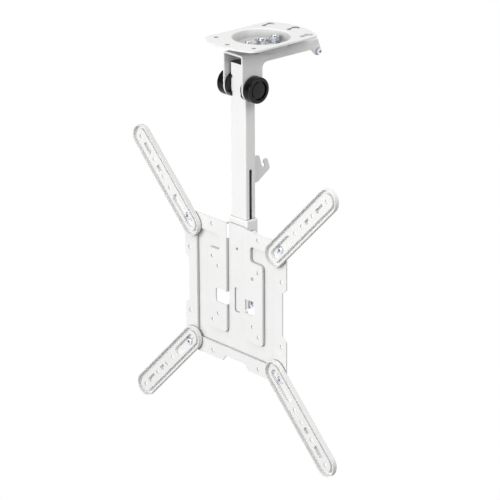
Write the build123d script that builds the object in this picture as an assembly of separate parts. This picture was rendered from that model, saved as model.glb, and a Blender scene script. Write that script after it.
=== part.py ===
from build123d import *
from math import cos, radians, sin, sqrt, tan
import os

# Folding ceiling mount for a flat screen, in millimetres.
# The origin is the middle of the ceiling plate's top face: +Z goes up into the ceiling,
# -Y is the screen's side and X runs across the mount.

# Ceiling plate
CEILING_WIDTH = 106.0
CEILING_LENGTH = 152.0
CEILING_SHEET = 2.5
CEILING_END_RADIUS = 98.0
CEILING_CORNER_RADIUS = 14.0
DISH_MOUTH_RADIUS = 42.5
DISH_FLOOR_RADIUS = 35.0
DISH_BLEND_RADIUS = 50.0
DISH_DEPTH = 12.4
DISH_LIP_RADIUS = 3.0
DISH_LIP_UNDER_RADIUS = 2.0
DISH_FOOT_RADIUS = 4.0
DISH_HEEL_RADIUS = 3.0
FIXING_HOLE_RADIUS = 3.5
FIXING_ROW_HALF = 40.0
FRONT_FIXING_Y = -50.0
FRONT_MIDDLE_FIXING_Y = -64.0
KEYHOLE_SEAT_Y = 42.0
KEYHOLE_MIDDLE_SEAT_Y = 54.0
KEYHOLE_REACH = 13.0
KEYHOLE_HEAD_RADIUS = 6.2

# Swivel joint between the ceiling plate and the folding bracket
SWIVEL_BOLT_RADIUS = 4.0
SWIVEL_ARC_RADIUS = 25.0
SWIVEL_HALF_ANGLE = 60.0
SWIVEL_WASHER_RADIUS = 8.0
SWIVEL_WASHER_THICK = 1.6
SWIVEL_NUT_ACROSS = 13.0
SWIVEL_NUT_HEIGHT = 6.5
SWIVEL_HEAD_HEIGHT = 5.3
SWIVEL_BOLT_TIP = 2.0
SWIVEL_NUT_TURNS = (-15.0, 10.0, 35.0)

# Folding bracket, a folded sheet with a web, two cheeks and two rear ears
BRACKET_WIDTH = 41.2
BRACKET_SHEET = 2.6
BRACKET_BEND_RADIUS = 4.4
BRACKET_FLANGE_DEPTH = 16.0
BRACKET_REAR_Y = 91.0
CHEEK_RADIUS = 19.0
CHEEK_THROAT_RADIUS = 9.0
EAR_RADIUS = 6.6
EAR_SLOPE = 45.0
EAR_THROAT_RADIUS = 8.0

# Fold pivot, placed from the bracket's web
PIVOT_Y = -35.5
PIVOT_DROP = 51.1
SPINDLE_RADIUS = 5.0
SPINDLE_IN_KNOB = 8.5
SPINDLE_CHAMFER = 0.8
KNOB_RADIUS = 19.2
KNOB_LENGTH = 13.0
KNOB_RIB_LENGTH = 8.2
KNOB_RIBS = 44
KNOB_RIB_DEPTH = 0.7
KNOB_WAIST_RADIUS = 18.0
KNOB_WAIST_LENGTH = 1.0
KNOB_FACE_ROUND = 1.4
KNOB_BACK_CHAMFER = 0.8
KNOB_GROOVE_RADIUS = 14.4
KNOB_GROOVE_DEPTH = 3.4
KNOB_BUTTON_RADIUS = 11.6
KNOB_BUTTON_RISE = 2.6
KNOB_BUTTON_DOME = 0.5
KNOB_BUTTON_CHAMFER = 0.5
KNOB_WASHER_RADIUS = 11.0
KNOB_WASHER_THICK = 1.2
INSERT_RADIUS = 8.5
INSERT_LENGTH = 9.0
INSERT_FLATS = 15.0
DISC_RADIUS = 18.6
DISC_LIP = 3.6
DISC_POCKET_TOP = 12.0
DISC_POCKET_FOOT = 8.5
DISC_POCKET_FLOOR = 3.0

# Upper tube, which slides through the guide discs and inside the lower tube
UPPER_WIDTH = 31.5
UPPER_DEPTH = 19.0
UPPER_WALL = 1.5
UPPER_CORNER_RADIUS = 2.0
UPPER_TOP_ABOVE_PIVOT = 34.0
UPPER_LENGTH = 367.8
UNLATCH_TRAVEL = 15.5
PLUG_CAP_HEIGHT = 1.2
PLUG_CAP_ROUND = 0.4
PLUG_DEPTH = 8.0
PLUG_WALL = 2.0
PLUG_HOLLOW_CORNER = 0.5
HEIGHT_SLOT_TOP_BELOW_PIVOT = 124.4

# Hook bracket on the back of the upper tube, which hangs on the latch screw when folded
HOOK_WIDTH = 20.4
HOOK_SHEET = 2.5
HOOK_BEND_RADIUS = 3.2
HOOK_TOP_BELOW_PIVOT = 105.5
HOOK_HEIGHT = 41.0
HOOK_SEAT_BELOW_PIVOT = 124.2
HOOK_MOUTH_ANGLE = 56.0
HOOK_MOUTH_LENGTH = 12.0
HOOK_MOUTH_CLEARANCE = 0.2
HOOK_FINGER_RADIUS = 3.9
HOOK_FINGER_LENGTH = 2.6
HOOK_SHOULDER_RADIUS = 4.6
HOOK_SHOULDER_OFFSET = 6.4
HOOK_LIP_WIDTH = 6.0
HOOK_LIP_RADIUS = 4.0
HOOK_FOOT_LENGTH = 8.0
HOOK_FOOT_RADIUS = 3.6
RIVET_RADIUS = 2.4
RIVET_HEAD_RADIUS = 4.6
RIVET_HEAD_HEIGHT = 1.6
RIVET_ROUND_SHARE = 0.8
RIVET_PITCH = 22.0
LATCH_REACH = 127.3
LATCH_RISE = 31.0
LATCH_SCREW_RADIUS = 2.5
LATCH_HEAD_RADIUS = 4.3
LATCH_HEAD_HEIGHT = 5.0
LATCH_HEAD_ROUND = 0.5
LATCH_SCREW_TIP = 1.0
LATCH_SOCKET_ACROSS = 4.0
LATCH_SOCKET_DEPTH = 2.6
LATCH_NUT_ACROSS = 8.0
LATCH_NUT_HEIGHT = 4.0

# Lower tube, which carries the screen plate
LOWER_WIDTH = 39.0
LOWER_DEPTH = 22.0
LOWER_WALL = 1.3
LOWER_CORNER_RADIUS = 2.5
LOWER_TOP_BELOW_PIVOT = 200.9
BUSH_CAP_HEIGHT = 3.0
BUSH_CAP_RADIUS = 0.9
BUSH_SLEEVE_LENGTH = 26.0
HEIGHT_BOLT_RADIUS = 2.5
HEIGHT_BOLT_BELOW_CAP = 24.0
HEIGHT_BOLT_ABOVE_FOOT = 7.4
HEIGHT_WASHER_RADIUS = 8.0
HEIGHT_WASHER_THICK = 1.6
HEIGHT_HEAD_ACROSS = 8.0
HEIGHT_HEAD_HEIGHT = 3.5
HEIGHT_NUT_HEIGHT = 4.0
HEIGHT_BOLT_TIP = 1.5
TONGUE_WIDTH = 26.0
TONGUE_LENGTH = 13.6
TONGUE_CORNER_RADIUS = 3.0

# Screen plate, a stamped sheet with a raised rim, two raised pads and a middle channel
PLATE_SHEET = 2.0
PLATE_EMBOSS = 4.6
PLATE_HALF_WIDTH = 110.0
PLATE_HALF_HEIGHT = 109.5
PLATE_CORNER_RADIUS = 8.0
PLATE_CENTRE_BELOW_PIVOT = 317.4
PLATE_SIDE_NOTCH_DEPTH = 8.5
PLATE_SIDE_NOTCH_HALF = 40.0
PLATE_FOOT_NOTCH_DEPTH = 9.0
PLATE_FOOT_NOTCH_HALF = 28.0
PLATE_NOTCH_SLOPE = 7.0
RECESS_HALF_WIDTH = 84.5
RECESS_HALF_HEIGHT = 86.8
RECESS_CORNER_RADIUS = 6.0
CHANNEL_HALF_WIDTH = 18.8
PAD_OUTER_X = 59.5
PAD_HALF_HEIGHT = 62.5
PAD_NECK_X = 33.0
WINDOW_INNER_X = 17.0
WINDOW_OUTER_X = 42.5
WINDOW_HEIGHT = 22.0
WINDOW_BELOW_CENTRE = 8.5
WINDOW_CORNER_RADIUS = 4.5
KEY_SLOT_WIDTH = 11.6
KEY_SLOT_HEIGHT = 38.0
KEY_SLOT_BELOW_CENTRE = 7.0
KEY_SLOT_CORNER_RADIUS = 3.0
WALL_SLOT_HEIGHT = 23.0
WALL_SLOT_ABOVE_CENTRE = 95.5
WALL_SLOT_INTO_FLOOR = 1.8
WALL_SLOT_INTO_PAD = 2.6
PILOT_HOLE_RADIUS = 2.0
PILOT_ABOVE_CENTRE = 73.0
VESA_SMALL = 75.0
VESA_MEDIUM = 100.0
VESA_LARGE = 200.0
VESA_EXTENDED = 400.0
PAD_HOLE_RADIUS = 2.75
RIM_HOLE_RADIUS = 3.3

# Extension arms, pressed from sheet
ARM_SCREW_RADIUS = 3.0
ARM_SHEET = 1.5
ARM_HALF_WIDTH = 17.9
ARM_FLANGE_THICK = 1.6
ARM_DEPTH = 8.3
ARM_PLATEAU_DEPTH = 6.9
ARM_PLATEAU_HALF = 11.0
ARM_BEND_RADIUS = 2.0
ARM_EDGE_RADIUS = 0.6
ARM_NEAR_CENTRE = 13.0
ARM_TRACK_HALF = 7.0
ARM_TRACK_START = -10.5
ARM_TRACK_END = 30.5
ARM_HOLE_RADIUS = 3.3
ARM_NEAR_HOLE = 50.0
ARM_MIDDLE_HOLE = 70.0
ARM_FAR_HOLE = 100.0
ARM_SHORT_POCKET_AT = 84.5
ARM_SHORT_POCKET_LENGTH = 10.0
ARM_LONG_POCKET_AT = 120.0
ARM_LONG_POCKET_LENGTH = 19.0
ARM_POCKET_WIDTH = 6.6
ARM_POCKET_CORNER = 0.5
ARM_DOT_RADIUS = 1.2
ARM_DOT_STATION = -8.6
ARM_SCREW_HEAD_RADIUS = 5.9
ARM_SCREW_HEAD_HEIGHT = 3.0
ARM_SCREW_ROUND_SHARE = 0.75
ARM_SCREW_CROSS_WIDTH = 1.5
ARM_SCREW_TIP = 1.5
ARM_NUT_ACROSS = 10.0
ARM_NUT_HEIGHT = 5.0

# Nuts and bolt heads, as shares of the width across flats, and shank ends of the radius
HEX_TURNED_RADIUS = 0.56
NUT_CHAMFER = 0.05
HEAD_CHAMFER = 0.06
SHANK_CHAMFER = 0.2

# Clearances
SLIDE_CLEARANCE = 0.2
RUNNING_CLEARANCE = 0.08
HOLE_CLEARANCE = 0.3

# Sizes worked out from the ones above
WEB_TOP_Z = -DISH_DEPTH - CEILING_SHEET
WEB_UNDER_Z = WEB_TOP_Z - BRACKET_SHEET
FLANGE_FOOT_Z = WEB_TOP_Z - BRACKET_FLANGE_DEPTH
CHEEK_OUTER_X = BRACKET_WIDTH / 2
CHEEK_INNER_X = CHEEK_OUTER_X - BRACKET_SHEET
CHEEK_FRONT_Y = PIVOT_Y - CHEEK_RADIUS
PIVOT_Z = WEB_TOP_Z - PIVOT_DROP
LATCH_Y = PIVOT_Y + LATCH_REACH
LATCH_Z = PIVOT_Z + LATCH_RISE
KNOB_BACK_X = CHEEK_OUTER_X + KNOB_WASHER_THICK
SPINDLE_END_X = KNOB_BACK_X + SPINDLE_IN_KNOB
UPPER_HALF_WIDTH = UPPER_WIDTH / 2
UPPER_HALF_DEPTH = UPPER_DEPTH / 2
UPPER_TOP_Z = PIVOT_Z + UPPER_TOP_ABOVE_PIVOT
UPPER_FOOT_Z = UPPER_TOP_Z - UPPER_LENGTH
UPPER_BACK_Y = PIVOT_Y + UPPER_HALF_DEPTH
HOOK_TOP_Z = PIVOT_Z - HOOK_TOP_BELOW_PIVOT
HOOK_SEAT_Y = PIVOT_Y + LATCH_RISE
HOOK_SEAT_Z = PIVOT_Z - HOOK_SEAT_BELOW_PIVOT
LOWER_CAP_Z = PIVOT_Z - LOWER_TOP_BELOW_PIVOT + BUSH_CAP_HEIGHT
LOWER_TOP_Z = LOWER_CAP_Z - BUSH_CAP_HEIGHT
LOWER_FOOT_Z = UPPER_FOOT_Z
LOWER_FRONT_Y = PIVOT_Y - LOWER_DEPTH / 2
UPPER_BOLT_Z = LOWER_CAP_Z - HEIGHT_BOLT_BELOW_CAP
LOWER_BOLT_Z = LOWER_FOOT_Z + HEIGHT_BOLT_ABOVE_FOOT
PLATE_FLOOR_BACK_Y = LOWER_FRONT_Y
PLATE_FLOOR_Y = PLATE_FLOOR_BACK_Y - PLATE_SHEET
PLATE_FRONT_Y = PLATE_FLOOR_Y - PLATE_EMBOSS
PLATE_RIM_BACK_Y = PLATE_FRONT_Y + PLATE_SHEET
PLATE_CENTRE_Z = PIVOT_Z - PLATE_CENTRE_BELOW_PIVOT
ARM_REACH = (VESA_EXTENDED - VESA_LARGE) / sqrt(2)

os.makedirs("parts", exist_ok=True)


def side_plane(x=0.0):
    """Plane across X, drawn with Y to the right and Z up."""
    return Plane(origin=(x, 0, 0), x_dir=(0, 1, 0), z_dir=(1, 0, 0))


def front_plane(y):
    """Plane facing the screen, drawn with X to the right and Z up; it extrudes towards -Y."""
    return Plane(origin=(0, y, 0), x_dir=(1, 0, 0), z_dir=(0, -1, 0))


def across(x0, x1, profile):
    """Extrudes a profile drawn in Y and Z from x0 to x1."""
    return extrude(side_plane(x0) * profile, amount=x1 - x0)


def cylinder_x(radius, x0, x1, y, z):
    return across(x0, x1, Pos(y, z) * Circle(radius))


def cylinder_y(radius, y0, y1, x, z):
    """Cylinder along Y from y0 back to y1."""
    return extrude(front_plane(y1) * (Pos(x, z) * Circle(radius)), amount=y1 - y0)


def disc_ring(radius, bore, height):
    return Cylinder(radius, height) - Cylinder(bore, height)


def hexagon(across_flats):
    return RegularPolygon(across_flats / 2, 6, major_radius=False)


def hex_nut(across_flats, height, bore):
    """Nut standing on Z = 0, with its corners turned down at both faces."""
    body = extrude(hexagon(across_flats), amount=height)
    turned = Pos(0, 0, height / 2) * Cylinder(across_flats * HEX_TURNED_RADIUS, height)
    turned = chamfer(turned.edges().filter_by(GeomType.CIRCLE), across_flats * NUT_CHAMFER)
    return (body & turned) - Pos(0, 0, height / 2) * Cylinder(bore, height)


def hex_bolt(across_flats, head_height, shank_radius, length):
    """Bolt with its head's seat on Z = 0, the head below it and the shank up along Z."""
    head = extrude(hexagon(across_flats), amount=-head_height)
    turned = Pos(0, 0, -head_height / 2) * Cylinder(across_flats * HEX_TURNED_RADIUS, head_height)
    turned = chamfer(turned.edges().group_by(Axis.Z)[0], across_flats * HEAD_CHAMFER)
    shank = Pos(0, 0, length / 2) * Cylinder(shank_radius, length)
    shank = chamfer(shank.edges().group_by(Axis.Z)[-1], shank_radius * SHANK_CHAMFER)
    return (head & turned) + shank


def stadium(radius, start, end):
    """Slot outline along X between two end centres."""
    middle = (start + end) / 2
    return Pos(middle, 0) * SlotCenterToCenter(end - start, 2 * radius)


def save(node, *solids):
    """Writes one node, as a single solid or as a group of like solids."""
    shapes = []
    for shape in solids:
        shapes.extend(shape.solids())
    body = shapes[0] if len(shapes) == 1 else Compound(children=shapes)
    body.label = node
    export_step(body, f"parts/{node}.step")


# Ceiling plate

def ceiling_outline():
    half_width = CEILING_WIDTH / 2
    half_length = CEILING_LENGTH / 2
    sagitta = CEILING_END_RADIUS - sqrt(CEILING_END_RADIUS**2 - half_width**2)
    corner_y = half_length - sagitta
    front = ThreePointArc((-half_width, -corner_y), (0, -half_length), (half_width, -corner_y))
    right = Line((half_width, -corner_y), (half_width, corner_y))
    back = ThreePointArc((half_width, corner_y), (0, half_length), (-half_width, corner_y))
    left = Line((-half_width, corner_y), (-half_width, -corner_y))
    outline = make_face(front + right + back + left)
    return fillet(outline.vertices(), CEILING_CORNER_RADIUS)


def keyhole(x, seat_y):
    """Narrow slot seat with a head hole behind it."""
    neck = Pos(x, seat_y + KEYHOLE_REACH / 2)
    neck *= Rot(0, 0, 90) * SlotCenterToCenter(KEYHOLE_REACH, 2 * FIXING_HOLE_RADIUS)
    head = Pos(x, seat_y + KEYHOLE_REACH) * Circle(KEYHOLE_HEAD_RADIUS)
    return neck + head


def swivel_slot(middle_angle):
    """Arc slot about the swivel axis for one of the two clamping bolts."""
    first_angle = middle_angle - SWIVEL_HALF_ANGLE
    middle_line = CenterArc((0, 0), SWIVEL_ARC_RADIUS, first_angle, 2 * SWIVEL_HALF_ANGLE)
    return SlotArc(middle_line, 2 * (SWIVEL_BOLT_RADIUS + HOLE_CLEARANCE))


def dish_section():
    """Half section of the pressed dish in X and Z, from the axis out to the flat sheet."""
    slope = (DISH_MOUTH_RADIUS - DISH_FLOOR_RADIUS) / DISH_DEPTH
    under_shift = CEILING_SHEET * (sqrt(1 + slope**2) - slope)
    corners = [
        (0, -DISH_DEPTH),
        (DISH_FLOOR_RADIUS, -DISH_DEPTH),
        (DISH_MOUTH_RADIUS, 0),
        (DISH_BLEND_RADIUS, 0),
        (DISH_BLEND_RADIUS, -CEILING_SHEET),
        (DISH_MOUTH_RADIUS + under_shift, -CEILING_SHEET),
        (DISH_FLOOR_RADIUS + under_shift, WEB_TOP_Z),
        (0, WEB_TOP_Z),
    ]
    section = make_face(Polyline(*corners, close=True))
    mouth, hip = section.vertices().sort_by_distance((DISH_MOUTH_RADIUS, 0, 0))[:2]
    section = fillet(mouth, DISH_LIP_RADIUS)
    section = fillet(section.vertices().sort_by_distance(hip)[0], DISH_LIP_UNDER_RADIUS)
    heel = section.vertices().sort_by_distance((DISH_FLOOR_RADIUS, -DISH_DEPTH, 0))[0]
    section = fillet(heel, DISH_HEEL_RADIUS)
    heel = section.vertices().sort_by_distance((DISH_FLOOR_RADIUS + under_shift, WEB_TOP_Z, 0))[0]
    return fillet(heel, DISH_FOOT_RADIUS)


def ceiling_plate():
    sheet = extrude(ceiling_outline() - Circle(DISH_BLEND_RADIUS), amount=-CEILING_SHEET)
    plate = sheet + revolve(Plane.XZ * dish_section(), Axis.Z)
    holes = Sketch() + Circle(SWIVEL_BOLT_RADIUS + RUNNING_CLEARANCE)
    holes += swivel_slot(90)
    holes += swivel_slot(-90)
    for x in (-FIXING_ROW_HALF, FIXING_ROW_HALF):
        holes += Pos(x, FRONT_FIXING_Y) * Circle(FIXING_HOLE_RADIUS)
        holes += keyhole(x, KEYHOLE_SEAT_Y)
    holes += Pos(0, FRONT_MIDDLE_FIXING_Y) * Circle(FIXING_HOLE_RADIUS)
    holes += keyhole(0, KEYHOLE_MIDDLE_SEAT_Y)
    return plate - extrude(Pos(0, 0, WEB_TOP_Z) * holes, amount=-WEB_TOP_Z)


save("ceiling_plate", ceiling_plate())


# Folding bracket

def bracket_side():
    """Outline of a cheek, its flange and its rear ear, in Y and Z."""
    flange_length = BRACKET_REAR_Y - CHEEK_FRONT_Y
    flange_mid = (BRACKET_REAR_Y + CHEEK_FRONT_Y) / 2
    outline = Pos(flange_mid, WEB_TOP_Z - BRACKET_FLANGE_DEPTH / 2)
    outline *= Rectangle(flange_length, BRACKET_FLANGE_DEPTH)
    outline += Pos(PIVOT_Y, (WEB_TOP_Z + PIVOT_Z) / 2) * Rectangle(2 * CHEEK_RADIUS, PIVOT_DROP)
    outline += Pos(PIVOT_Y, PIVOT_Z) * Circle(CHEEK_RADIUS)
    lean = radians(EAR_SLOPE)
    front_y = LATCH_Y - EAR_RADIUS * sin(lean)
    front_z = LATCH_Z - EAR_RADIUS * cos(lean)
    root_y = front_y - (FLANGE_FOOT_Z - front_z) / tan(lean)
    ear_corners = [
        (root_y, WEB_TOP_Z),
        (root_y, FLANGE_FOOT_Z),
        (front_y, front_z),
        (LATCH_Y, LATCH_Z),
        (LATCH_Y + EAR_RADIUS, LATCH_Z),
        (BRACKET_REAR_Y, WEB_TOP_Z),
    ]
    outline += make_face(Polyline(*ear_corners, close=True))
    outline += Pos(LATCH_Y, LATCH_Z) * Circle(EAR_RADIUS)
    throat = outline.vertices().sort_by_distance((PIVOT_Y + CHEEK_RADIUS, FLANGE_FOOT_Z, 0))[0]
    outline = fillet(throat, CHEEK_THROAT_RADIUS)
    throat = outline.vertices().sort_by_distance((root_y, FLANGE_FOOT_Z, 0))[0]
    return fillet(throat, EAR_THROAT_RADIUS)


def folded_channel(width, sheet, bend_radius, height):
    """U section: its closed side on Y = 0, open towards -Y."""
    outer = Pos(0, -height / 2) * Rectangle(width, height)
    outer = fillet(outer.vertices().group_by(Axis.Y)[-1], bend_radius)
    inner = Pos(0, -height / 2 - sheet) * Rectangle(width - 2 * sheet, height)
    inner = fillet(inner.vertices().group_by(Axis.Y)[-1], bend_radius - sheet)
    return outer - inner


def folding_bracket():
    body = across(-CHEEK_OUTER_X, CHEEK_OUTER_X, bracket_side())
    section = folded_channel(BRACKET_WIDTH, BRACKET_SHEET, BRACKET_BEND_RADIUS, PIVOT_DROP + CHEEK_RADIUS)
    length = LATCH_Y + EAR_RADIUS - CHEEK_FRONT_Y
    plane = Plane(origin=(0, CHEEK_FRONT_Y, WEB_TOP_Z), x_dir=(-1, 0, 0), z_dir=(0, 1, 0))
    body &= extrude(plane * section, amount=length)
    for y in (-SWIVEL_ARC_RADIUS, 0, SWIVEL_ARC_RADIUS):
        body -= Pos(0, y, WEB_TOP_Z) * Cylinder(SWIVEL_BOLT_RADIUS + HOLE_CLEARANCE, 4 * BRACKET_SHEET)
    body -= cylinder_x(SPINDLE_RADIUS + HOLE_CLEARANCE, -CHEEK_OUTER_X, CHEEK_OUTER_X, PIVOT_Y, PIVOT_Z)
    body -= cylinder_x(LATCH_SCREW_RADIUS + HOLE_CLEARANCE, -CHEEK_OUTER_X, CHEEK_OUTER_X, LATCH_Y, LATCH_Z)
    return body


save("folding_bracket", folding_bracket())


# Swivel bolts, washers and nuts: the middle one is the axle, the outer two clamp in the slots

def swivel_fasteners():
    washer_z = -DISH_DEPTH
    nut_z = washer_z + SWIVEL_WASHER_THICK
    shank = nut_z + SWIVEL_NUT_HEIGHT + SWIVEL_BOLT_TIP - WEB_UNDER_Z
    bolts = []
    washers = []
    nuts = []
    bolt = hex_bolt(SWIVEL_NUT_ACROSS, SWIVEL_HEAD_HEIGHT, SWIVEL_BOLT_RADIUS, shank)
    ring = disc_ring(SWIVEL_WASHER_RADIUS, SWIVEL_BOLT_RADIUS, SWIVEL_WASHER_THICK)
    nut = hex_nut(SWIVEL_NUT_ACROSS, SWIVEL_NUT_HEIGHT, SWIVEL_BOLT_RADIUS)
    places = (-SWIVEL_ARC_RADIUS, 0, SWIVEL_ARC_RADIUS)
    for y, turn in zip(places, SWIVEL_NUT_TURNS):
        bolts.append(Pos(0, y, WEB_UNDER_Z) * bolt)
        washers.append(Pos(0, y, washer_z + SWIVEL_WASHER_THICK / 2) * ring)
        nuts.append(Pos(0, y, nut_z) * Rot(0, 0, turn) * nut)
    return bolts, washers, nuts


swivel_bolts, swivel_washers, swivel_nuts = swivel_fasteners()
save("swivel_bolts", *swivel_bolts)
save("swivel_washers", *swivel_washers)
save("swivel_nuts", *swivel_nuts)


# Pivot spindle, knobs and guide discs

def pivot_spindle():
    rod = cylinder_x(SPINDLE_RADIUS, -SPINDLE_END_X, SPINDLE_END_X, PIVOT_Y, PIVOT_Z)
    return chamfer(rod.edges().filter_by(GeomType.CIRCLE), SPINDLE_CHAMFER)


def standing(radius, height):
    """Cylinder standing on Z = 0."""
    return Cylinder(radius, height, align=(Align.CENTER, Align.CENTER, Align.MIN))


def knob_ribs():
    """V-shaped cuts round the drum, seen along its axis."""
    side = KNOB_RIB_DEPTH * sqrt(2)
    cuts = Sketch()
    for index in range(KNOB_RIBS):
        turn = Rot(0, 0, 360 * index / KNOB_RIBS)
        cuts += turn * Pos(KNOB_RADIUS, 0) * Rot(0, 0, 45) * Rectangle(side, side)
    return cuts


def knob_button():
    """Slightly domed button that fills the middle of the knob's face."""
    button = standing(KNOB_BUTTON_RADIUS, KNOB_BUTTON_RISE)
    button = chamfer(button.edges().group_by(Axis.Z)[-1], KNOB_BUTTON_CHAMFER)
    ball_radius = (KNOB_BUTTON_RADIUS**2 + KNOB_BUTTON_DOME**2) / (2 * KNOB_BUTTON_DOME)
    return button & (Pos(0, 0, KNOB_BUTTON_RISE - ball_radius) * Sphere(ball_radius))


def knob_at_right():
    """Clamping knob: ribbed drum, waist, front ring, ring groove and button; built along +X."""
    drum = standing(KNOB_RADIUS, KNOB_LENGTH)
    drum = fillet(drum.edges().group_by(Axis.Z)[-1], KNOB_FACE_ROUND)
    drum = chamfer(drum.edges().group_by(Axis.Z)[0], KNOB_BACK_CHAMFER)
    waist = standing(2 * KNOB_RADIUS, KNOB_WAIST_LENGTH) - standing(KNOB_WAIST_RADIUS, KNOB_WAIST_LENGTH)
    drum -= Pos(0, 0, KNOB_RIB_LENGTH) * waist
    drum -= extrude(knob_ribs(), amount=KNOB_RIB_LENGTH)
    groove_floor = KNOB_LENGTH - KNOB_GROOVE_DEPTH
    drum -= Pos(0, 0, groove_floor) * standing(KNOB_GROOVE_RADIUS, KNOB_GROOVE_DEPTH)
    drum += Pos(0, 0, groove_floor) * knob_button()
    return drum - extrude(insert_outline(), amount=INSERT_LENGTH)


def insert_outline():
    """Round insert with two flats that keep it from turning in the knob."""
    return Circle(INSERT_RADIUS) & Rectangle(INSERT_FLATS, 2 * INSERT_RADIUS)


def knob_insert_at_right():
    body = extrude(insert_outline(), amount=INSERT_LENGTH)
    bore = Circle(SPINDLE_RADIUS + RUNNING_CLEARANCE)
    return body - extrude(bore, amount=INSERT_LENGTH)


def on_pivot(side, x, solid):
    """Places a solid built along +Z on the pivot axis, facing out to one side."""
    plane = Plane(origin=(side * x, PIVOT_Y, PIVOT_Z), x_dir=(0, side, 0), z_dir=(side, 0, 0))
    return plane.location * solid


def guide_disc(side):
    """Disc between cheek and tube: a channel for the tube's side and a pocketed lip."""
    inner_x = UPPER_HALF_WIDTH - DISC_LIP
    disc = cylinder_x(DISC_RADIUS, inner_x, CHEEK_INNER_X, PIVOT_Y, PIVOT_Z)
    channel_half = UPPER_HALF_DEPTH + SLIDE_CLEARANCE
    channel_x = UPPER_HALF_WIDTH + SLIDE_CLEARANCE
    channel = Pos(PIVOT_Y, PIVOT_Z) * Rectangle(2 * channel_half, 3 * DISC_RADIUS)
    disc -= across(inner_x, channel_x, channel)
    pocket_x = CHEEK_INNER_X - DISC_POCKET_FLOOR
    pocket_height = DISC_POCKET_TOP + DISC_POCKET_FOOT
    pocket_z = PIVOT_Z + (DISC_POCKET_TOP - DISC_POCKET_FOOT) / 2
    pocket = Pos(PIVOT_Y, pocket_z) * Rectangle(3 * DISC_RADIUS, pocket_height)
    pocket -= Pos(PIVOT_Y, pocket_z) * Rectangle(2 * channel_half, pocket_height)
    disc -= across(inner_x, pocket_x, pocket)
    disc -= cylinder_x(SPINDLE_RADIUS + RUNNING_CLEARANCE, inner_x, CHEEK_INNER_X, PIVOT_Y, PIVOT_Z)
    return disc if side > 0 else mirror(disc, Plane.YZ)


save("pivot_spindle", pivot_spindle())
right_knob = knob_at_right()
right_insert = knob_insert_at_right()
knob_washers = []
for side_name, side in (("left", -1), ("right", 1)):
    save("knob_" + side_name, on_pivot(side, KNOB_BACK_X, right_knob))
    save("knob_insert_" + side_name, on_pivot(side, KNOB_BACK_X, right_insert))
    save("guide_disc_" + side_name, guide_disc(side))
    washer = disc_ring(KNOB_WASHER_RADIUS, SPINDLE_RADIUS + HOLE_CLEARANCE, KNOB_WASHER_THICK)
    knob_washers.append(on_pivot(side, CHEEK_OUTER_X + KNOB_WASHER_THICK / 2, washer))
save("knob_washers", *knob_washers)


# Latch screw and its nut, across the bracket's ears

def latch_screw():
    shank_end = CHEEK_OUTER_X + LATCH_NUT_HEIGHT + LATCH_SCREW_TIP
    screw = cylinder_x(LATCH_SCREW_RADIUS, -shank_end, CHEEK_OUTER_X, LATCH_Y, LATCH_Z)
    head_end = CHEEK_OUTER_X + LATCH_HEAD_HEIGHT
    head = cylinder_x(LATCH_HEAD_RADIUS, CHEEK_OUTER_X, head_end, LATCH_Y, LATCH_Z)
    head = fillet(head.edges().filter_by(GeomType.CIRCLE).group_by(Axis.X)[-1], LATCH_HEAD_ROUND)
    socket = Pos(LATCH_Y, LATCH_Z) * hexagon(LATCH_SOCKET_ACROSS)
    return screw + head - across(head_end - LATCH_SOCKET_DEPTH, head_end, socket)


def latch_nut():
    plane = Plane(origin=(-CHEEK_OUTER_X, LATCH_Y, LATCH_Z), x_dir=(0, 1, 0), z_dir=(-1, 0, 0))
    return plane.location * hex_nut(LATCH_NUT_ACROSS, LATCH_NUT_HEIGHT, LATCH_SCREW_RADIUS)


save("latch_screw", latch_screw())
save("latch_nut", latch_nut())


# Upper tube and its plug

def tube_section(width, depth, corner):
    return Pos(0, PIVOT_Y) * RectangleRounded(width, depth, corner)


def upright(profile, top_z, foot_z):
    """Extrudes a profile drawn in X and Y down from top_z to foot_z."""
    return extrude(Pos(0, 0, top_z) * profile, amount=foot_z - top_z)


def side_slot(radius, top_z, foot_z):
    """Slot profile in Y and Z between two end centres one above the other."""
    height = top_z - foot_z
    return Pos(PIVOT_Y, (top_z + foot_z) / 2) * Rot(0, 0, 90) * SlotCenterToCenter(height, 2 * radius)


def upper_bore():
    width = UPPER_WIDTH - 2 * UPPER_WALL
    depth = UPPER_DEPTH - 2 * UPPER_WALL
    return tube_section(width, depth, UPPER_CORNER_RADIUS - UPPER_WALL)


def upper_tube():
    section = tube_section(UPPER_WIDTH, UPPER_DEPTH, UPPER_CORNER_RADIUS) - upper_bore()
    tube = upright(section, UPPER_TOP_Z, UPPER_FOOT_Z)
    pivot_slot = side_slot(SPINDLE_RADIUS + SLIDE_CLEARANCE, PIVOT_Z + UNLATCH_TRAVEL, PIVOT_Z)
    tube -= across(-UPPER_HALF_WIDTH, UPPER_HALF_WIDTH, pivot_slot)
    slot_top = PIVOT_Z - HEIGHT_SLOT_TOP_BELOW_PIVOT
    height_slot = side_slot(HEIGHT_BOLT_RADIUS + SLIDE_CLEARANCE, slot_top, LOWER_BOLT_Z)
    tube -= across(-UPPER_HALF_WIDTH, UPPER_HALF_WIDTH, height_slot)
    for z in rivet_heights():
        tube -= cylinder_y(RIVET_RADIUS, PIVOT_Y, UPPER_BACK_Y, 0, z)
    return tube


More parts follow.
